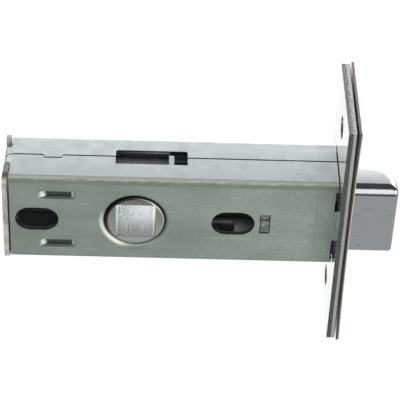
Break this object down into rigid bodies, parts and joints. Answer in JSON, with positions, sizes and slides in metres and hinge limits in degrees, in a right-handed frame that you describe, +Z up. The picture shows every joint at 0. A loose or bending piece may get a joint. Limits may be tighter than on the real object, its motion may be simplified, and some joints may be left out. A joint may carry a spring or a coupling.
{
  "type": "tubular mortice door latch",
  "caption": "Box-cased tubular door latch: a sprung bevelled bolt slides out of a two-plate forend, drawn back by a square-spindle follower through pull strips.",
  "frame": {"origin": "on the spindle axis, at mid-thickness of the case", "axes": "+X toward the door's edge and the latch bolt, +Y through the door, +Z up along the forend"},
  "size_m": [0.0763, 0.0226, 0.0526],
  "materials": {
    "zinc_plated_case": "zinc-plated pressed steel, satin",
    "end_plate_steel": "stamped steel plate, thinly plated",
    "forend_steel": "bright-plated steel plate with sheared edges",
    "outer_forend_plate": "satin nickel over copper-coloured edges",
    "spring_wire": "drawn spring wire",
    "bolt_chrome": "bright chrome over a zinc casting",
    "strip_steel": "zinc-plated pressed strip",
    "cast_follower": "zinc die casting, as cast"
  },
  "bodies": {
    "case": {"front_case_shell": "zinc_plated_case", "back_case_shell": "zinc_plated_case", "rear_end_plate": "end_plate_steel", "inner_forend": "forend_steel", "outer_forend": "outer_forend_plate", "spring_abutment_plate": "strip_steel", "latch_spring": "spring_wire"},
    "bolt": {"latch_bolt": "bolt_chrome", "upper_pull_strip": "strip_steel", "lower_pull_strip": "strip_steel"},
    "follower": {"follower": "cast_follower"}
  },
  "joints": [
    {"name": "follower_turn", "type": "hinge", "parent": "case", "child": "follower", "pos_m": [0, 0, 0], "axis": [0, -1, 0], "range_deg": [0, 55]},
    {"name": "bolt_slide", "type": "slide", "parent": "case", "child": "bolt", "axis": [-1, 0, 0], "range_m": [0, 0.0095], "stiffness_N_per_m": 1000, "springref_m": -0.006, "deforming": ["latch_spring"]}
  ],
  "couplings": [
    {"joint": "follower_turn", "follows": "bolt_slide", "rad_per_m": 101.04}
  ]
}
